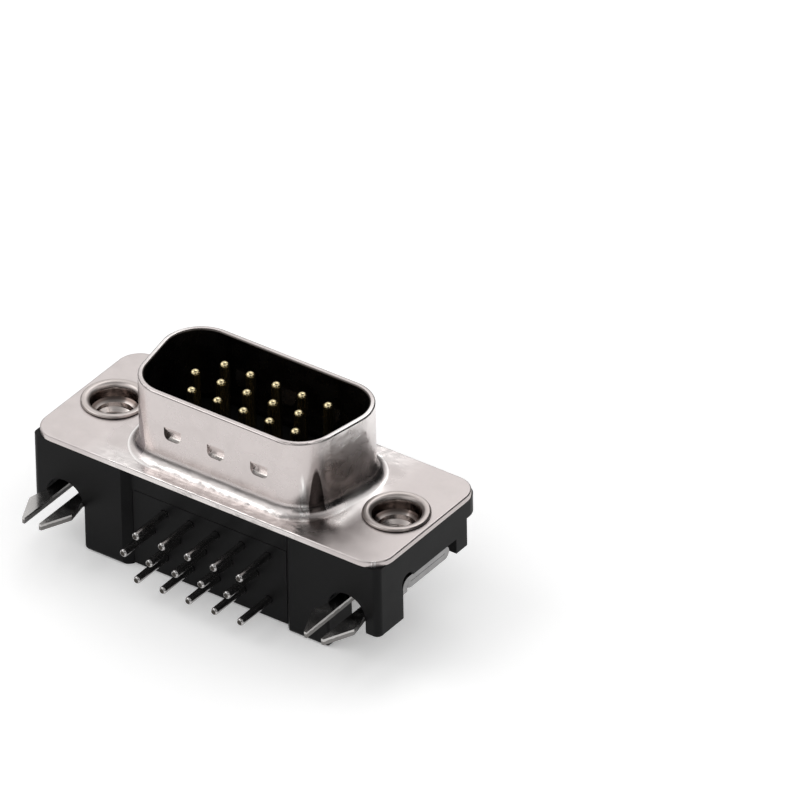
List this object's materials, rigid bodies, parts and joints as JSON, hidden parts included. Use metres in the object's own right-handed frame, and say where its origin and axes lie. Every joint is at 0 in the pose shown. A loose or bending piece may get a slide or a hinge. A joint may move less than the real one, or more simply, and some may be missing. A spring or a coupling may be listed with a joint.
{
  "type": "d-sub connector",
  "caption": "Right-angle male D-sub connector for a circuit board, with a D-shaped metal shell, threaded inserts, staggered pin rows, bent tails and forked board locks.",
  "frame": {"origin": "middle of the rear face that the connector rests on, on the mating axis", "axes": "+Z along the mating axis, out of the shell; -Y towards the circuit board; X along the flange, across the two threaded inserts"},
  "size_m": [0.0308, 0.0165, 0.0149],
  "materials": {
    "shell_nickel": "drawn steel sheet, nickel plated",
    "housing_plastic": "moulded glass-filled polyester, satin black",
    "cover_plastic": "moulded glass-filled polyester, satin black",
    "lock_tin": "stamped and folded sheet, bright tin plated",
    "insert_nickel": "turned and swaged brass, nickel plated",
    "contact_metal": "brass wire, gold flashed on the mating end and tinned on the tail"
  },
  "bodies": {
    "root": {"front_shell": "shell_nickel", "housing": "housing_plastic", "rear_cover": "cover_plastic", "board_lock_left": "lock_tin", "board_lock_right": "lock_tin", "threaded_insert_left": "insert_nickel", "threaded_insert_right": "insert_nickel", "contact_01": "contact_metal", "contact_02": "contact_metal", "contact_03": "contact_metal", "contact_04": "contact_metal", "contact_05": "contact_metal", "contact_06": "contact_metal", "contact_07": "contact_metal", "contact_08": "contact_metal", "contact_09": "contact_metal", "contact_10": "contact_metal", "contact_11": "contact_metal", "contact_12": "contact_metal", "contact_13": "contact_metal", "contact_14": "contact_metal", "contact_15": "contact_metal"}
  },
  "joints": []
}
